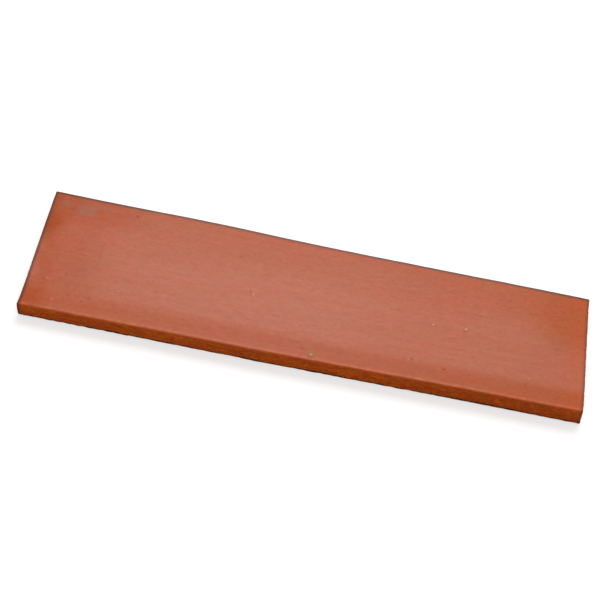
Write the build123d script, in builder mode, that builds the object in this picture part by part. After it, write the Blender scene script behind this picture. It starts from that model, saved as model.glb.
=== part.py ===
"""Long fired-clay brick slip: one extruded piece with a smooth face, eased long margins and a keyed back.

Millimetres. +X runs along the slip, +Y across it, +Z up out of the face.
The origin is the middle of the back, which is the side that beds in the adhesive.
"""

import os

from build123d import *

# Overall size
length = 300.0
width = 75.0
thickness = 12.0

# Face: flat in the middle, and falling gently to the arris along each long edge
margin_width = 13.0
margin_fall = 0.3

# Arrises, as radii
face_arris = 0.7
back_arris = 0.8
end_arris = 0.8

# Back: dovetailed keys that the die leaves along the whole length
key_depth = 1.5
key_mouth = 5.0
key_root = 6.0
key_pitch = 11.0
key_corner = 0.4
back_edge_land = 6.0

# Worked out from the sizes above
half_width = width / 2
edge_height = thickness - margin_fall
outermost_key = half_width - back_edge_land - key_root / 2
keys_each_side = int(outermost_key / key_pitch + 0.5)
key_count = 2 * keys_each_side

with BuildPart() as brick_slip:
    # Half of the section, from the middle of the back round to the middle of the face
    with BuildSketch(Plane.YZ.offset(-length / 2)) as section:
        with BuildLine():
            underside = Line((0, 0), (half_width, 0))
            edge_face = Line(underside @ 1, (half_width, edge_height))
            margin = TangentArc(
                (half_width - margin_width, thickness),
                edge_face @ 1,
                tangent=(1, 0),
            )
            field = Line(margin @ 0, (0, thickness))
            Line(field @ 1, underside @ 0)
        make_face()
        fillet(section.vertices().sort_by_distance(edge_face @ 1)[0], radius=face_arris)
        fillet(section.vertices().sort_by_distance(edge_face @ 0)[0], radius=back_arris)
        mirror(about=Plane.YZ)
    extrude(amount=length)

    # The cutting wire leaves square ends, and handling takes off their sharpness
    fillet(brick_slip.faces().filter_by(Axis.X).edges(), radius=end_arris)

    # Keys across the back, with a land in the middle and a wider one at each long edge
    with BuildSketch(Plane.YZ.offset(-length / 2)) as keys:
        with GridLocations(key_pitch, 0, key_count, 1):
            Polygon(
                (-key_mouth / 2, 0),
                (key_mouth / 2, 0),
                (key_root / 2, key_depth),
                (-key_root / 2, key_depth),
                align=None,
            )
        fillet(keys.vertices().group_by(Axis.Y)[-1], radius=key_corner)
    extrude(amount=length, mode=Mode.SUBTRACT)

brick_slip.part.label = "brick_slip"

os.makedirs("parts", exist_ok=True)
export_step(brick_slip.part, "parts/brick_slip.step")
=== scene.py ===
import math
import random

import bmesh
import bpy
import numpy as np
from mathutils import Matrix, Vector, geometry, noise


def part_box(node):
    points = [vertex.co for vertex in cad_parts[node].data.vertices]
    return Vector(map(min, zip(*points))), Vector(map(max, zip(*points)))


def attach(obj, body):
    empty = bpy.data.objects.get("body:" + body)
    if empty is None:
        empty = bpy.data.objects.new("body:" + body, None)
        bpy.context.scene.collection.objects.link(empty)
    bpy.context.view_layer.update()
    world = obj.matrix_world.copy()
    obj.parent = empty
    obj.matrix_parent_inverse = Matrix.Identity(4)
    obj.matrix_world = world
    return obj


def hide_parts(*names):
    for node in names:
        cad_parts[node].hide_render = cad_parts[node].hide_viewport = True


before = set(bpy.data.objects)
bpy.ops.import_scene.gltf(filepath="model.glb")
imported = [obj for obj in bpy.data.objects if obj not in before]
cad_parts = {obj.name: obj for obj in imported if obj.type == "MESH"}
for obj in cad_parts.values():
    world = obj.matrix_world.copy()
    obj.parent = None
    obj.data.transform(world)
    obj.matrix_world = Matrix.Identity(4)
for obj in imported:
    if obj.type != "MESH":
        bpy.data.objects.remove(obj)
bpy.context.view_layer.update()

# The slip is one piece of red clay, pushed through a die as a ribbon, cut off by a wire and fired. The
# die gives it a smooth face with eased long margins, rounded arrises, and a back with dovetailed keys
# for the adhesive. Sizes are in mm, and this is the section that the die cuts.
mm = 0.001
half_length, half_width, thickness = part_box("brick_slip")[1] / mm
margin_width = 13.0
margin_fall = 0.3
face_arris = 0.7
back_arris = 0.8
key_depth = 1.5
key_mouth = 5.0
key_root = 6.0
key_pitch = 11.0
key_corner = 0.4
land_corner = 0.25
keys_each_side = 3
edge_height = thickness - margin_fall

# Spacing of the mesh round the section
face_step = 0.45
edge_step = 0.6
back_step = 1.4
corner_step = 0.36


def straight(start, end, step):
    """Points along a line, from its start up to but without its end."""
    count = max(1, round(math.dist(start, end) / step))
    return [Vector(start).lerp(end, n / count) for n in range(count)]


def rounded(corners, step):
    """Points along a line through (y, z, radius) corners, up to but without the last of them."""
    points = []
    leave = Vector(corners[0][:2])
    for before, here, after in zip(corners, corners[1:], corners[2:]):
        corner, radius = Vector(here[:2]), here[2]
        back = (Vector(before[:2]) - corner).normalized()
        on = (Vector(after[:2]) - corner).normalized()
        half_angle = back.angle(on) / 2
        start = corner + back * radius / math.tan(half_angle)
        end = corner + on * radius / math.tan(half_angle)
        centre = corner + (back + on).normalized() * radius / math.sin(half_angle)
        spoke = start - centre
        turn = spoke.angle_signed(end - centre)
        steps = max(2, round(abs(turn) * radius / corner_step))
        points += straight(leave, start, step)
        points += [centre + Matrix.Rotation(-turn * n / steps, 2) @ spoke for n in range(steps)]
        leave = end
    return points + straight(leave, Vector(corners[-1][:2]), step)


def face_height(across):
    """Height of the face, at a distance from the middle of its width."""
    margin = max(0.0, abs(across) - (half_width - margin_width)) / margin_width
    return thickness - margin_fall * margin * margin


back_line = [(0, 0, 0)]
for number in range(keys_each_side):
    key = (number + 0.5) * key_pitch
    back_line += [
        (key - key_mouth / 2, 0, land_corner),
        (key - key_root / 2, key_depth, key_corner),
        (key + key_root / 2, key_depth, key_corner),
        (key + key_mouth / 2, 0, land_corner),
    ]
bed_edge = half_width - back_arris
face_edge = half_width - face_arris
back_line.append((bed_edge, 0, 0))
edge_line = [
    (bed_edge, 0, 0),
    (half_width, 0, back_arris),
    (half_width, edge_height, face_arris),
    (face_edge, face_height(face_edge), 0),
]
face_count = round(face_edge / face_step)
half = rounded(back_line, back_step) + rounded(edge_line, edge_step)
half += [Vector((y, face_height(y))) for y in np.linspace(face_edge, 0, face_count, endpoint=False)]
section = np.array(half + [Vector((0, thickness))] + [Vector((-y, z)) for y, z in reversed(half[1:])])

# The ribbon, cut to length. The wire leaves square ends, and handling takes off their sharpness: the
# section draws in there by a quarter of an oval, less in the keys, where the corners are smaller.
end_arris = 0.8
end_inset = 0.65
key_inset = 0.2
end_steps = 4
along_step = 1.45

ahead = np.roll(section, -1, 0) - np.roll(section, 1, 0)
outward = np.stack([ahead[:, 1], -ahead[:, 0]], 1) / np.linalg.norm(ahead, axis=1)[:, None]
in_keys = (section[:, 1] < key_depth + key_corner) & (abs(section[:, 0]) < bed_edge)
insets = np.where(in_keys, key_inset, end_inset)

turns = np.linspace(math.pi / 2, 0, end_steps, endpoint=False)
straight_half = half_length - end_arris
straight_count = round(2 * straight_half / along_step) + 1
end_places = [(straight_half + end_arris * math.sin(turn), 1 - math.cos(turn)) for turn in turns]
stations = [(-x, share) for x, share in end_places]
stations += [(x, 0) for x in np.linspace(-straight_half, straight_half, straight_count)]
stations += reversed(end_places)

around = len(section)
places = []
for x, share in stations:
    places += [(x, y, z) for y, z in section - outward * (share * insets)[:, None]]
last_ring = (len(stations) - 1) * around
faces = []
for ring in range(0, last_ring, around):
    for here in range(around):
        on = (here + 1) % around
        faces.append((ring + here, ring + on, ring + on + around, ring + here + around))

# Each cut end is closed by a cap, with points on a grid of this step that keeps clear of the rim.
cap_step = 0.6
cap_clear = 0.36
cap_weld = 1e-5
inside_only = 1


def cap(first, flip):
    """Closes an end: triangles between the ring that starts at first and a grid of points inside it."""
    x = places[first][0]
    ring = np.array(places[first:first + around])[:, 1:]
    inside = []
    for y in np.arange(-half_width + cap_step, half_width, cap_step):
        for z in np.arange(cap_step, thickness, cap_step):
            if np.hypot(*(ring - (y, z)).T).min() > cap_clear:
                inside.append((y, z))
    points = [Vector(point) for point in [*ring, *inside]]
    found = geometry.delaunay_2d_cdt(points, [], [list(range(around))], inside_only, cap_weld)
    own = []
    for point, origins in zip(found[0], found[3]):
        if origins and min(origins) < around:
            own.append(first + min(origins))
        else:
            own.append(len(places))
            places.append((x, *point))
    for triangle in found[2]:
        faces.append([own[corner] for corner in (reversed(triangle) if flip else triangle)])


cap(0, True)
cap(last_ring, False)

mesh = bpy.data.meshes.new("slip")
mesh.from_pydata((np.array(places) * mm).tolist(), [], faces)

# Grit and pits. Grains of lime and iron in the clay stand out of the face or have fallen from it. Each
# is (along, across, height above the bed, radius, how far it stands out, paleness) in mm. Those listed
# lie where they show, and small ones are strewn over the face. The mesh is finer round all of them.
# Other programs found most of the listed spots in the photo, and worked out all their places in mm.
grains = [
    (4.0, -34.2, thickness, 1.2, 0.3, 0.4),
    (83.5, 0.6, thickness, 0.85, 0.14, 0.48),
    (82.6, -1.0, thickness, 0.6, -0.08, -0.3),
    (65.5, -0.5, thickness, 0.8, 0.12, 0.42),
    (-103.4, 31.1, thickness, 0.9, -0.14, -0.5),
    (-133.9, -31.0, thickness, 0.9, 0.08, 0.3),
    (-43.3, 18.7, thickness, 0.8, -0.1, -0.4),
    (-32.3, -4.1, thickness, 0.75, 0.1, 0.36),
    (-34.2, -2.6, thickness, 0.65, -0.12, -0.45),
    (-139.8, -19.0, thickness, 0.8, 0.08, 0.3),
    (54.7, -25.6, thickness, 0.75, 0.07, 0.31),
    (56.8, -25.2, thickness, 0.7, -0.12, -0.4),
    (74.3, -28.1, thickness, 0.8, -0.12, -0.45),
    (-102.1, -18.9, thickness, 0.7, 0.06, 0.3),
    (6.1, -24.1, thickness, 0.7, 0.06, 0.28),
    (-115.6, -26.7, thickness, 0.7, -0.1, -0.35),
    (-1.2, -31.6, thickness, 0.7, -0.1, -0.35),
    (-119.0, -29.4, thickness, 0.7, -0.1, -0.35),
    (118.5, -27.0, thickness, 0.7, -0.1, -0.35),
    (119.9, -23.5, thickness, 0.7, 0.06, 0.28),
    (-131.0, -14.2, thickness, 0.7, -0.1, -0.35),
    (40.2, 4.1, thickness, 0.7, 0.06, 0.28),
    (106.0, 24.8, thickness, 0.7, -0.09, -0.3),
    (16.9, -27.4, thickness, 0.7, -0.09, -0.3),
    (90.9, 11.0, thickness, 0.7, -0.09, -0.3),
    (-29.5, -half_width, 5.6, 0.7, 0.1, 0.3),
    (34.6, -half_width, 4.0, 0.7, 0.1, 0.3),
    (125.0, -half_width, 4.3, 0.7, 0.1, 0.3),
]
strewn = 56
strewn_along = 0.98
strewn_across = 0.92
strewn_stands = (-0.09, -0.07, -0.06, 0.05, 0.06)
strewn_paleness = (0.12, 0.28)
strewn_radii = (0.35, 0.65)
random.seed(7)
for number in range(strewn):
    along = random.uniform(-strewn_along, strewn_along) * half_length
    across = random.uniform(-strewn_across, strewn_across) * half_width
    stands = random.choice(strewn_stands)
    pale = math.copysign(random.uniform(*strewn_paleness), stands)
    grains.append((along, across, thickness, random.uniform(*strewn_radii), stands, pale))
grain_reach = 1.8
grain_cuts = 2

coarse = np.array(places)
form = bmesh.new()
form.from_mesh(mesh)
form.edges.ensure_lookup_table()
edge_ends = np.array([[vertex.index for vertex in edge.verts] for edge in form.edges])
fine = np.zeros(len(edge_ends), bool)
for *spot, radius, stands, pale in grains:
    close = np.linalg.norm(coarse - spot, axis=1) < grain_reach * radius + along_step
    fine |= close[edge_ends].all(1)
close_edges = [form.edges[number] for number in np.flatnonzero(fine)]
bmesh.ops.subdivide_edges(form, edges=close_edges, cuts=grain_cuts, use_grid_fill=True)
bmesh.ops.triangulate(form, faces=[face for face in form.faces if len(face.verts) > 4])
form.to_mesh(mesh)
form.free()

# Relief, as a distance out of the surface in mm: soft waves and long die lines on the face, drag
# marks of the wire on the ends, small nicks along the arrises and a coarser skin on the back.
face_wave = 0.04
die_line = 0.03
die_line_on_edges = 0.6
fine_die_line = 0.012
grain_skin = 0.012
edge_skin = 0.06
wire_mark = 0.14
wire_slant = 0.35
back_skin = 0.08
nick_depth = 0.55
nick_threshold = 0.28
low_nicks = 1.6
high_nicks = 0.4
low_arris_reach = 1.3
high_arris_reach = 1.6
crumb = 0.35
endless = 500

positions = np.empty(3 * len(mesh.vertices))
mesh.vertices.foreach_get("co", positions)
positions = positions.reshape(-1, 3) / mm
normals = np.empty(3 * len(mesh.vertices))
mesh.vertex_normals.foreach_get("vector", normals)
normals = normals.reshape(-1, 3)


def lumps(long, wide, high, shift=0.0, slant=0.0):
    """Soft noise from -1 to 1 at each point of the slip, in lumps of this length, width and height."""
    slanted = positions + slant * positions[:, [0, 2, 1]] * (0, 1, 0)
    return np.array([noise.noise(point) for point in (slanted / (long, wide, high) + shift).tolist()])


x, y, z = positions.T
upward = normals[:, 2].clip(0)
downward = (-normals[:, 2]).clip(0)
sideways = abs(normals[:, 1])
endways = abs(normals[:, 0])
out = face_wave * upward * lumps(55, 20, endless)
out += die_line * (upward + die_line_on_edges * sideways) * lumps(160, 2.6, 2.6, 5)
out += fine_die_line * upward * lumps(90, 0.9, endless, 9)
out += grain_skin * lumps(1.6, 1.6, 1.6)
out += edge_skin * sideways * lumps(7, endless, 1.8)
out += wire_mark * endways * lumps(endless, 1.5, 14, slant=wire_slant)
out -= back_skin * downward * (1 + lumps(4, 2, endless, 3)) / 2
low_arris = (1 - np.hypot(half_width - abs(y), z) / low_arris_reach).clip(0)
high_arris = (1 - np.hypot(half_width - abs(y), edge_height - z) / high_arris_reach).clip(0)
nick = (lumps(3.2, 1, 2) - nick_threshold).clip(0)
out -= nick_depth * nick * (low_nicks * low_arris + high_nicks * high_arris)
out += crumb * low_arris * lumps(2.6, 1.5, 1.5, 7)

lime = np.zeros(len(positions))
for *spot, radius, stands, pale in grains:
    near = (1 - np.linalg.norm(positions - spot, axis=1) / (radius * grain_reach)).clip(0)
    near = near * near * (3 - 2 * near)
    out += stands * near
    lime += pale * near

# The kiln lets the long edges wander by up to a millimetre and twists the face a little, and the wire
# cuts the ends about a degree off square and leaning. Drifts, skews over half the width, leans over
# half the height, and what the corners swell or draw in are all in mm. The two lists of drifts are a
# table that another program fitted to the outline in the photo, with small changes.
drift_places = np.linspace(-half_length, half_length, 13)
front_drifts = (0.24, 0.25, 0.21, 0.2, 0.12, -0.04, 0.1, 0.2, 0.34, 0.6, 0.62, 0.54, 0.66)
back_drifts = (0.47, 0.28, 0.32, 0.6, 0.46, -0.14, -0.5, -0.6, -0.49, -0.5, -0.27, -0.25, -0.26)
front_lean = 0.05
front_lean_turn = 0.4
front_sag = 0.25
front_twist = 0.75
back_twist = 0.11
left_skew, left_lean = 0.7, 0.33
right_skew, right_lean = 0.83, 1.06
left_swell, left_swell_rise, left_swell_bow = 0.9, 0.95, 1.3
right_flare = 0.3
right_tuck = 0.35
corner_sharpness = 8

to_right, to_back, to_top = x / half_length, y / half_width, z / thickness
right_share = (1 + to_right) / 2
moulded = positions.copy()
front_drift = np.interp(x, drift_places, front_drifts) + (front_lean + front_lean_turn * to_right) * to_top
back_drift = np.interp(x, drift_places, back_drifts)
front_corner = (-to_back).clip(0) ** corner_sharpness
back_corner = to_back.clip(0) ** corner_sharpness
swell = left_swell + left_swell_rise * to_top - left_swell_bow * to_top * to_top
left_cut = left_skew * to_back + left_lean * (1 - 2 * to_top) - swell * front_corner
right_cut = right_skew * to_back + right_lean * (1 - 2 * to_top)
right_cut += right_flare * back_corner - right_tuck * front_corner
twist = np.where(to_back < 0, front_twist * to_right - front_sag, -back_twist * to_right)
positions += normals * out[:, None]
positions[:, 0] += (1 - right_share) * left_cut + right_share * right_cut
positions[:, 1] += np.where(to_back < 0, front_drift, back_drift) * abs(to_back)
positions[:, 2] += twist * to_back * to_back * to_top
positions[:, 2] = positions[:, 2].clip(0)
mesh.vertices.foreach_set("co", (positions * mm).ravel())
mesh.attributes.new("lime", "FLOAT", "POINT").data.foreach_set("value", lime)
mesh.attributes.new("moulded", "FLOAT_VECTOR", "POINT").data.foreach_set("vector", moulded.ravel())
mesh.shade_smooth()
mesh.update()

slip = bpy.data.objects.new("slip", mesh)
bpy.context.scene.collection.objects.link(slip)


# The fired clay: orange red where it is bare. The die burnishes the face, which has a satin gloss
# and a painted sheen in its colour, both strongest over the middle and thinning out along the margins
# and towards the ends.
class Wire:
    """An output in a node tree. Arithmetic on it adds Math nodes, and add puts in any other node."""

    def __init__(self, tree, socket=None):
        self.tree = tree
        self.socket = socket

    def add(self, kind, settings, inputs, output=0):
        """Adds a node, sets its settings and then its sockets, and gives the output of that name."""
        node = self.tree.nodes.new(kind)
        for name, value in settings.items():
            setattr(node, name, value)
        sockets = [socket for socket in node.inputs if socket.enabled]
        for name, value in inputs.items():
            if isinstance(name, int):
                socket = sockets[name]
            else:
                socket = next(socket for socket in sockets if socket.name == name)
            if isinstance(value, Wire):
                self.tree.links.new(value.socket, socket)
            else:
                socket.default_value = value
        outputs = [socket for socket in node.outputs if socket.enabled]
        if not outputs:
            return None
        return Wire(self.tree, outputs[0] if output == 0 else node.outputs[output])

    def sum(self, operation, *values):
        return self.add("ShaderNodeMath", {"operation": operation}, dict(enumerate(values)))

    def __add__(self, other):
        return self.sum("ADD", self, other)

    def __sub__(self, other):
        return self.sum("SUBTRACT", self, other)

    def __rsub__(self, other):
        return self.sum("SUBTRACT", other, self)

    def __mul__(self, other):
        return self.sum("MULTIPLY", self, other)

    __radd__ = __add__
    __rmul__ = __mul__

    def __abs__(self):
        return self.sum("ABSOLUTE", self)

    def most(self, other):
        return self.sum("MAXIMUM", self, other)

    def rise(self, low, high):
        """Goes smoothly from 0 at low to 1 at high."""
        return self.add(
            "ShaderNodeMapRange",
            {"interpolation_type": "SMOOTHSTEP"},
            {"Value": self, "From Min": low, "From Max": high},
        )

    def tint(self, colour, stain):
        """Lays a stain over a colour, as thick as this wire says."""
        return self.add(
            "ShaderNodeMix",
            {"data_type": "RGBA"},
            {"Factor": self, "A": colour, "B": stain},
        )

    def clouds(self, along, across, detail=2.0, shift=0.0):
        """Soft noise about 0.5 on a place in mm, with clouds of this length and width."""
        stretched = self.add(
            "ShaderNodeVectorMath",
            {"operation": "MULTIPLY_ADD"},
            {0: self, 1: (1 / along, 1 / across, 1 / across), 2: (shift,) * 3},
        )
        return self.add("ShaderNodeTexNoise", {}, {"Vector": stretched, "Scale": 1.0, "Detail": detail})


def paint(red, green, blue):
    """A colour as a painter's 0 to 255, turned into light."""
    shares = [value / 255 for value in (red, green, blue)]
    light = [share / 12.92 if share <= 0.04045 else ((share + 0.055) / 1.055) ** 2.4 for share in shares]
    return (*light, 1.0)


bare_clay = paint(171, 74, 21)
deep_clay = paint(136, 50, 12)
edge_clay = paint(228, 98, 6)
yellow_clay = paint(172, 84, 8)
pale_clay = paint(196, 92, 34)
red_clay = paint(188, 60, 19)
ochre_clay = paint(184, 98, 8)
dusty_clay = paint(190, 112, 70)
# The colour of painted shade on the arrises
edge_shade = paint(98, 48, 24)
# The colour of painted shade along the foot
foot_shade = paint(36, 26, 18)
# The pale of a painted sheen, which whitens the glossy face in its colour
painted_sheen = paint(200, 152, 142)
lime_white = paint(225, 196, 178)
iron_dark = paint(92, 34, 18)
ash_grey = paint(112, 123, 128)
olive = paint(112, 112, 58)

# How far below the face its burnish starts and is full, and how far in from the ends it is full
burnish_from = 1.1
burnish_full = 0.55
burnish_end = 0.6

clay = bpy.data.materials.new("fired_clay")
clay.use_nodes = True
clay.node_tree.nodes.clear()
nodes = Wire(clay.node_tree)
place = nodes.add("ShaderNodeAttribute", {"attribute_name": "moulded"}, {}, "Vector")
x = place.add("ShaderNodeSeparateXYZ", {}, {0: place}, "X")
y = place.add("ShaderNodeSeparateXYZ", {}, {0: place}, "Y")
z = place.add("ShaderNodeSeparateXYZ", {}, {0: place}, "Z")
from_end = half_length - abs(x)
from_side = half_width - abs(y)
on_face = z.rise(thickness - burnish_from, thickness - burnish_full) * from_end.rise(0.0, burnish_end)
side = 1.0 - on_face
grit = place.clouds(1.0, 0.8, 3.0, 12.0)
rough = place.clouds(4, 3, 3.0, 21.0)

# The gloss of the face. The distances that it changes over, in mm from an edge, are themselves uneven,
# as the die's pressure was. It is weaker all along the margins and stronger over the field.
drift = place.clouds(60, 25)
from_left = x + half_length + drift * 20.0 - 10.0
from_front = y + half_width + drift * 3.0 - 1.5
from_back = half_width - y + drift * 10.0 - 5.0

front_rim = 1.0 - from_front.rise(1.0, 4.5)
dull_corner = from_left.rise(4.0, 12.0) * (1.0 - from_left.rise(36.0, 60.0))
dull_corner = dull_corner * (1.0 - from_back.rise(12.0, 22.0))
dull_end = (1.0 - from_left.rise(6.0, 14.0)) * from_back.rise(12.0, 20.0)
dull_end = dull_end * (1.0 - from_back.rise(30.0, 38.0))
bright_back = from_left.rise(150.0, 190.0) * (1.0 - from_left.rise(240.0, 270.0))
bright_back = bright_back * (1.0 - from_back.rise(14.0, 32.0))
right_end = x.rise(136.0, 147.0)
margin_gloss = (
    0.33
    + 0.27 * from_left.rise(4.0, 16.0)
    - 0.1 * from_left.rise(140.0, 230.0)
    + 0.12 * front_rim
    - 0.12 * dull_corner
    - 0.14 * dull_end
    + 0.06 * bright_back
    - 0.05 * right_end
)

right_fade = from_left.rise(264.0, 290.0)
field = 0.3 - 0.3 * right_fade
field = field + (0.7 + 0.3 * right_fade) * (from_back - 12.0 * right_fade).rise(12.0, 36.0)
field = from_front.rise(8.5, 15.5) * field
bare = from_left.rise(3.0, 12.0).most(1.0 - from_back.rise(24.0, 34.0)) * (1.0 - from_left.rise(22.0, 48.0))
field = field * (1.0 - 0.9 * bare)
field_gloss = field * (0.26 + 0.18 * from_left.rise(190.0, 290.0))

left_gloss = (1.0 - from_left.rise(2.0, 8.0)) * from_back.rise(30.0, 42.0)
left_gloss = left_gloss * from_front.rise(12.0, 22.0) * 0.25

gloss = margin_gloss + field_gloss + left_gloss
streaks = place.clouds(70, 2.2, 3.0, 4.0)
speckle = place.clouds(5.0, 3.0, 3.0, 44.0)
# How glossy the face is: this sets the coat, and also how much painted sheen the colour gets
gloss_and_painted_sheen = on_face * gloss * (0.45 + 0.3 * streaks + 0.3 * grit + 0.5 * speckle)

# The colour of the clay, which the kiln has made uneven: a little over whole parts of the face, and
# then in clouds all over, which are stronger on the bare sides.
pale_front = (1.0 - from_front.rise(10.0, 18.0)) * from_left.rise(6.0, 14.0)
pale_front = pale_front * (1.0 - from_left.rise(70.0, 110.0))
yellow_back = x.rise(50.0, 130.0) * y.rise(-12.0, 16.0)
# Each part is (where, strength, colour)
parts = [
    (dull_corner, 0.16, deep_clay),
    (right_end, 0.15, edge_clay),
    (pale_front, 0.16, pale_clay),
    (yellow_back, 0.3, yellow_clay),
]
# Each mottle is (length, width, detail, shift, where a cloud starts, where it is full, strength, how
# much stronger it is on the sides, colour)
mottles = [
    (12, 5, 3.0, 18.0, 0.38, 0.62, 0.25, 0.55, yellow_clay),
    (20, 9, 2.0, 35.0, 0.42, 0.58, 0.25, 0.0, red_clay),
    (7, 4, 3.0, 27.0, 0.44, 0.6, 0.1, 0.8, red_clay),
    (9, 2.5, 4.0, 2.0, 0.45, 0.62, 0.08, 0.57, deep_clay),
    (5, 1.6, 3.0, 31.0, 0.5, 0.64, 0.0, 0.6, pale_clay),
    (7, 2.5, 3.0, 51.0, 0.46, 0.6, 0.0, 0.45, ochre_clay),
    (2.4, 1.7, 3.0, 6.0, 0.4, 0.65, 0.25, 0.4, deep_clay),
    (3.0, 1.6, 3.0, 15.0, 0.35, 0.7, 0.2, 0.3, yellow_clay),
]
colour = on_face.tint(edge_clay, bare_clay)
colour = (place.clouds(26, 14, 3.0, 8.0).rise(0.35, 0.75) * 0.11).tint(colour, deep_clay)
for part, strength, stain in parts:
    colour = (part * on_face * strength).tint(colour, stain)
for long, wide, detail, shift, low, high, strength, more_on_sides, stain in mottles:
    cloud = place.clouds(long, wide, detail, shift).rise(low, high)
    colour = (cloud * (strength + more_on_sides * side)).tint(colour, stain)
colour = (grit.rise(0.45, 0.62) * (0.15 + 0.4 * side)).tint(colour, deep_clay)

# What handling has left at the edges, and the light and shade painted there: a painted highlight along
# the front arris, painted shade on the arrises at the ends and the back and along the foot, a dusty bed,
# and sides that are dusty away from the front.
arris_highlight_line = 1.1 - half_width
right_half = x.rise(-20.0, 20.0)
near_top = z.rise(8.5, 11.2)
# Painted highlight: a pale line along the front arris
painted_arris_highlight = (1.0 - abs(y - arris_highlight_line).rise(0.3, 1.3)) * rough.rise(0.25, 0.75) * 0.8
colour = painted_arris_highlight.tint(colour, pale_clay)
# Painted shade: darker along the arrises of the ends and the back, and near the top at the left end
painted_end_shade = (1.0 - (from_end + 0.5 * right_half).rise(0.7, 2.7)) * (0.86 - 0.24 * right_half)
painted_end_shade = painted_end_shade * near_top.most(1.0 - from_side.rise(0.5, 1.2))
painted_left_shade = (1.0 - (x + half_length).rise(0.5, 8.0)) * y.rise(0.0, 10.0) * near_top * 0.32
painted_back_shade = (1.0 - (half_width - y).rise(0.9, 2.6)) * near_top * (0.55 + 0.8 * rough)
colour = painted_end_shade.most(painted_back_shade).most(painted_left_shade).tint(colour, edge_shade)
bedded = from_end.rise(0.4, 1.6) * from_side.rise(0.4, 1.6) * (1.0 - z.rise(1.7, 2.3))
colour = (bedded * (0.3 + 0.5 * rough)).tint(colour, dusty_clay)
# Painted shade: darker along the foot, where the slip meets the floor
painted_foot_shade = (1.0 - (z - 5.0 * rough).rise(-1.45, -0.45)) * (1.0 - bedded) * 0.9
colour = painted_foot_shade.tint(colour, foot_shade)
colour = (side * x.rise(20.0, 150.0) * 0.3).tint(colour, deep_clay)
not_front = (y + half_width).rise(1.0, 3.0)
colour = (side * not_front * (1.0 - painted_foot_shade) * 0.4).tint(colour, dusty_clay)
# Painted sheen: the glossy face is whitened in its colour, as a reflection would whiten it
colour = (gloss_and_painted_sheen * 0.05).tint(colour, painted_sheen)

# Smudges of ash on the face, and the ring that the largest grain has burnt into the clay, each as
# (along, across, reach along, reach across, strength, colour). Their rims are ragged. The grains and
# pits come last, pale and dark.
smudges = [
    (-130.1, 28.4, 5.4, 4.2, 0.25, ash_grey),
    (-142.2, 30.5, 4.6, 2.6, 0.17, ash_grey),
    (-120.0, 32.2, 7.0, 1.6, 0.18, ash_grey),
    (4.2, -34.2, 2.0, 2.4, 0.5, olive),
]
ragged = place.clouds(4, 3, 4.0) * 3.0 - 1.5
for along, across, long, wide, strength, stain in smudges:
    reach_along = (x - along) * (1 / long)
    reach_across = (y - across) * (1 / wide)
    reach = reach_along * reach_along + reach_across * reach_across + ragged
    colour = (on_face * (1.0 - reach.rise(-0.8, 1.9)) * strength).tint(colour, stain)
grains_here = nodes.add("ShaderNodeAttribute", {"attribute_name": "lime"}, {}, "Fac")
colour = grains_here.rise(0.05, 1.0).tint(colour, lime_white)
pitted = (0.0 - grains_here).rise(0.05, 0.9)
colour = pitted.tint(colour, iron_dark)

full_gloss = 0.62
grit_height = 0.022
scratch_height = 0.008
bump_height = grit_height * grit + scratch_height * place.clouds(40, 0.45, 2.0, 3.0)
bumps = nodes.add("ShaderNodeBump", {}, {"Strength": 1.0, "Distance": mm, "Height": bump_height})
shader = nodes.add(
    "ShaderNodeBsdfPrincipled",
    {},
    {
        "Base Color": colour,
        "Roughness": 0.85 - 0.1 * on_face,
        "Specular IOR Level": 0.06,
        "Coat Weight": gloss_and_painted_sheen * full_gloss * (1.0 - 0.7 * pitted),
        "Coat Roughness": 0.38,
        "Normal": bumps,
    },
)
nodes.add("ShaderNodeOutputMaterial", {}, {"Surface": shader})
mesh.materials.append(clay)
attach(slip, "root")
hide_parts("brick_slip")

# The floor: a plain white sheet, which shows white to the camera and in gloss and keeps the slip's
# soft shadow. Under the slip it has no glow of its own, so that the keys stay dark, and far from the
# slip it fades into the backdrop. Its sizes are in metres, apart from where the glow starts.
floor_half = 3.0
floor_white = (0.8, 0.8, 0.8, 1.0)
pure_white = (1.0, 1.0, 1.0, 1.0)
shadow_share = 0.5
shown_white = 1.1
fade_near = 0.35
fade_far = 0.9
glow_from = 1.5
glow_full = 0.5

sheet = bpy.data.meshes.new("floor")
ways = ((-1, -1), (1, -1), (1, 1), (-1, 1))
sheet.from_pydata([(right * floor_half, back * floor_half, 0) for right, back in ways], [], [(0, 1, 2, 3)])
floor = bpy.data.objects.new("floor", sheet)
bpy.context.scene.collection.objects.link(floor)
white = bpy.data.materials.new("floor_white")
white.use_nodes = True
white.node_tree.nodes.clear()
nodes = Wire(white.node_tree)


def seen(nodes):
    """1 on rays that show a surface to the camera or in gloss, and 0 on rays that carry its light."""
    camera_ray = nodes.add("ShaderNodeLightPath", {}, {}, "Is Camera Ray")
    glossy_ray = nodes.add("ShaderNodeLightPath", {}, {}, "Is Glossy Ray")
    through_ray = nodes.add("ShaderNodeLightPath", {}, {}, "Is Transmission Ray")
    return camera_ray.most(glossy_ray).most(through_ray)


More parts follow.
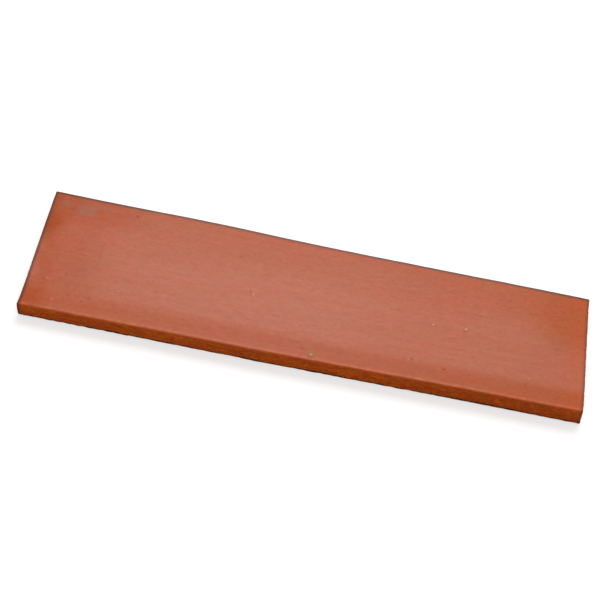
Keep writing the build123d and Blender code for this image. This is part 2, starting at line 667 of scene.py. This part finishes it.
lit = nodes.add("ShaderNodeBsdfDiffuse", {}, {"Color": floor_white})
shadowed = nodes.add("ShaderNodeBsdfDiffuse", {}, {"Color": (shadow_share,) * 3 + (1.0,)})
glow = nodes.add("ShaderNodeEmission", {}, {"Color": pure_white, "Strength": shown_white - shadow_share})
shown = nodes.add("ShaderNodeAddShader", {}, {0: shadowed, 1: glow})
blank = nodes.add("ShaderNodeEmission", {}, {"Color": pure_white, "Strength": 1.0})
spot = nodes.add("ShaderNodeTexCoord", {}, {}, "Object")
x = nodes.add("ShaderNodeSeparateXYZ", {}, {0: spot}, "X")
y = nodes.add("ShaderNodeSeparateXYZ", {}, {0: spot}, "Y")
clear_ends = abs(x).rise((half_length - glow_from) * mm, (half_length - glow_full) * mm)
clear_sides = abs(y).rise((half_width - glow_from) * mm, (half_width - glow_full) * mm)
clear = clear_ends.most(clear_sides)
far = (x * x + y * y).rise(fade_near * fade_near, fade_far * fade_far)
faded = nodes.add("ShaderNodeMixShader", {}, {0: far, 1: shown, 2: blank})
surface = nodes.add("ShaderNodeMixShader", {}, {0: seen(nodes) * clear, 1: lit, 2: faded})
nodes.add("ShaderNodeOutputMaterial", {}, {"Surface": surface})
sheet.materials.append(white)

# The light: a white room and one broad soft box, high behind the slip. Sizes are in metres.
room_light = 0.55
box_power = 10.5
box_size = (0.8, 0.6)
box_distance = 1.3
box_height_angle = math.radians(58)

world = bpy.data.worlds.new("studio")
bpy.context.scene.world = world
world.use_nodes = True
world.node_tree.nodes.clear()
nodes = Wire(world.node_tree)
air = nodes.add("ShaderNodeBackground", {}, {"Color": pure_white, "Strength": room_light})
backdrop = nodes.add("ShaderNodeBackground", {}, {"Color": pure_white, "Strength": 1.0})
shown = nodes.add("ShaderNodeMixShader", {}, {0: seen(nodes), 1: air, 2: backdrop})
nodes.add("ShaderNodeOutputWorld", {}, {"Surface": shown})

lamp = bpy.data.lights.new("soft_box", "AREA")
lamp.shape = "RECTANGLE"
lamp.size, lamp.size_y = box_size
lamp.energy = box_power
soft_box = bpy.data.objects.new("soft_box", lamp)
bpy.context.scene.collection.objects.link(soft_box)
soft_box.location = Vector((0, math.cos(box_height_angle), math.sin(box_height_angle))) * box_distance
soft_box.rotation_euler = (-soft_box.location).to_track_quat("-Z", "Y").to_euler()

# The camera stands in front of the slip, a little to its left, and looks down on its face. It is
# rolled, so that the slip lies aslant in the picture.
lens = 76.0
aim = Vector((-3.25, -5.8, thickness)) * mm
camera_distance = 691 * mm
elevation = math.radians(55.8)
azimuth = math.radians(-4.0)
roll = math.radians(14.55)

toward_camera = Vector((math.sin(azimuth), -math.cos(azimuth), math.tan(elevation))) * math.cos(elevation)
stand = Matrix.Translation(aim + toward_camera * camera_distance)
turned = Matrix.Rotation(azimuth, 4, "Z") @ Matrix.Rotation(math.pi / 2 - elevation, 4, "X")
camera = bpy.data.objects.new("camera", bpy.data.cameras.new("camera"))
bpy.context.scene.collection.objects.link(camera)
camera.data.lens = lens
camera.matrix_world = stand @ turned @ Matrix.Rotation(roll, 4, "Z")
bpy.context.scene.camera = camera
bpy.context.scene.view_settings.view_transform = "Standard"
